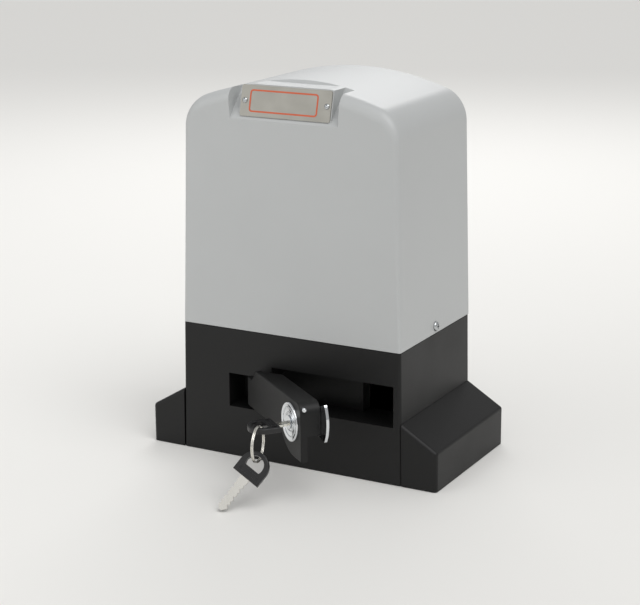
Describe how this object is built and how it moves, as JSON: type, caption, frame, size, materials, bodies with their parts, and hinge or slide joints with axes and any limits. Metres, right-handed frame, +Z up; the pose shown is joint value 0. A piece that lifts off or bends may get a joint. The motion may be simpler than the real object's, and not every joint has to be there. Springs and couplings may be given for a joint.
{
  "type": "sliding gate motor",
  "caption": "Sliding gate motor: covered worm gear drive with a rear rack pinion, a key-locked front release lever and wide mounting feet.",
  "frame": {"origin": "centre of the base's underside, on the ground plane", "axes": "+Z up, the release lever's front faces -Y, the rack pinion is at the rear on +Y, +X to the right seen from the front"},
  "size_m": [0.292, 0.3117, 0.3444],
  "materials": {
    "cover_plastic": "satin",
    "base_plastic": "fine_textured",
    "lever_plastic": "fine_textured",
    "stainless": "brushed",
    "zinc_screw": "zinc plated",
    "chrome": "polished",
    "key_steel": "nickel plated",
    "key_plastic": "moulded",
    "steel": "machined",
    "casting": "as cast",
    "bronze": "machined",
    "gear_steel": "machined",
    "lamination": "varnished",
    "copper_winding": "enamelled wire",
    "seal_rubber": "matt",
    "fan_plastic": "moulded",
    "board": "solder mask",
    "terminal_green": "moulded",
    "relay_black": "moulded",
    "coil_tape": "tape",
    "capacitor_white": "moulded",
    "bracket_plastic": "moulded",
    "switch_plastic": "moulded"
  },
  "bodies": {
    "root": {"base_housing": "base_plastic", "top_cover": "cover_plastic", "nameplate": "stainless", "nameplate_screws": "zinc_screw", "cover_screws": "zinc_screw", "foot_cover_left": "base_plastic", "foot_cover_right": "base_plastic", "lever_pin": "steel", "output_bearings": "steel", "oil_seal": "seal_rubber", "gearbox_housing": "casting", "gearbox_cover": "casting", "gearbox_cover_screws": "zinc_screw", "gearbox_bolts": "zinc_screw", "motor_bearings": "steel", "motor_stator": "lamination", "motor_windings": "copper_winding", "motor_lower_bell": "casting", "motor_upper_bell": "casting", "motor_bolts": "zinc_screw", "circuit_board": "board", "board_bracket": "bracket_plastic", "board_screws": "zinc_screw", "bracket_screws": "zinc_screw", "relays": "relay_black", "terminal_blocks": "terminal_green", "transformer_core": "lamination", "transformer_coil": "coil_tape", "run_capacitor": "capacitor_white", "capacitor_clamp": "steel", "limit_switch_box": "switch_plastic", "limit_pivot": "steel"},
    "lever": {"release_lever": "lever_plastic", "lock_barrel": "chrome", "lock_pin": "chrome"},
    "lock": {"lock_plug": "chrome", "lock_cam": "chrome", "cam_nut": "chrome"},
    "key": {"key_blade": "key_steel", "key_head": "key_plastic"},
    "ring": {"key_ring": "key_steel"},
    "spare": {"spare_key_blade": "key_steel", "spare_key_head": "key_plastic"},
    "release": {"release_rod": "steel"},
    "output": {"output_shaft": "gear_steel", "drive_pinion": "gear_steel", "shaft_key": "steel", "pinion_washer": "zinc_screw", "pinion_bolt": "zinc_screw"},
    "clutch": {"clutch_sleeve": "gear_steel", "clutch_pin": "steel", "clutch_spring": "steel"},
    "wheel": {"worm_wheel": "bronze"},
    "rotor": {"worm_shaft": "gear_steel", "rotor_core": "lamination", "cooling_fan": "fan_plastic"},
    "limit": {"limit_wand": "switch_plastic"}
  },
  "joints": [
    {"name": "lever_swing", "type": "hinge", "parent": "root", "child": "lever", "pos_m": [-0.032, -0.0686, 0.063], "axis": [0, 0, 1], "range_deg": [-52, 38]},
    {"name": "lock_turn", "type": "hinge", "parent": "lever", "child": "lock", "pos_m": [0.04491, -0.12869, 0.068], "axis": [-0.6157, -0.788, 0], "range_deg": [0, 90]},
    {"name": "key_pull", "type": "slide", "parent": "lock", "child": "key", "axis": [-0.6157, -0.788, 0], "range_m": [0, 0.026]},
    {"name": "ring_swing", "type": "hinge", "parent": "key", "child": "ring", "pos_m": [0.0242, -0.16777, 0.0668], "axis": [0.2079, -0.9781, 0], "range_deg": [-10, 0]},
    {"name": "spare_swing", "type": "hinge", "parent": "ring", "child": "spare", "pos_m": [0.0242, -0.16777, 0.0395], "axis": [0.9781, 0.2079, 0], "range_deg": [-10, 0]},
    {"name": "release_slide", "type": "slide", "parent": "root", "child": "release", "axis": [0, 1, 0], "range_m": [-0.0052, 0.0071]},
    {"name": "output_spin", "type": "hinge", "parent": "root", "child": "output", "pos_m": [-0.037, 0.008, 0.0625], "axis": [0, 1, 0], "continuous": true},
    {"name": "clutch_slide", "type": "slide", "parent": "output", "child": "clutch", "axis": [0, 1, 0], "range_m": [-0.0052, 0.0071], "deforming": ["clutch_spring"]},
    {"name": "wheel_spin", "type": "hinge", "parent": "root", "child": "wheel", "pos_m": [-0.037, 0.008, 0.0625], "axis": [0, 1, 0], "continuous": true},
    {"name": "motor_spin", "type": "hinge", "parent": "root", "child": "rotor", "pos_m": [0.016, 0.008, 0.15], "axis": [0, 0, 1], "continuous": true},
    {"name": "limit_swing", "type": "hinge", "parent": "root", "child": "limit", "pos_m": [-0.037, 0.0828, 0.112], "axis": [0, 1, 0], "range_deg": [-25, 25], "stiffness_Nm_per_rad": 0.4}
  ],
  "couplings": [
    {"joint": "release_slide", "follows": "lever_swing", "m_per_rad": -0.0077349},
    {"joint": "clutch_slide", "follows": "lever_swing", "m_per_rad": -0.0077349},
    {"joint": "wheel_spin", "follows": "output_spin", "ratio": 1},
    {"joint": "motor_spin", "follows": "output_spin", "ratio": 40}
  ]
}
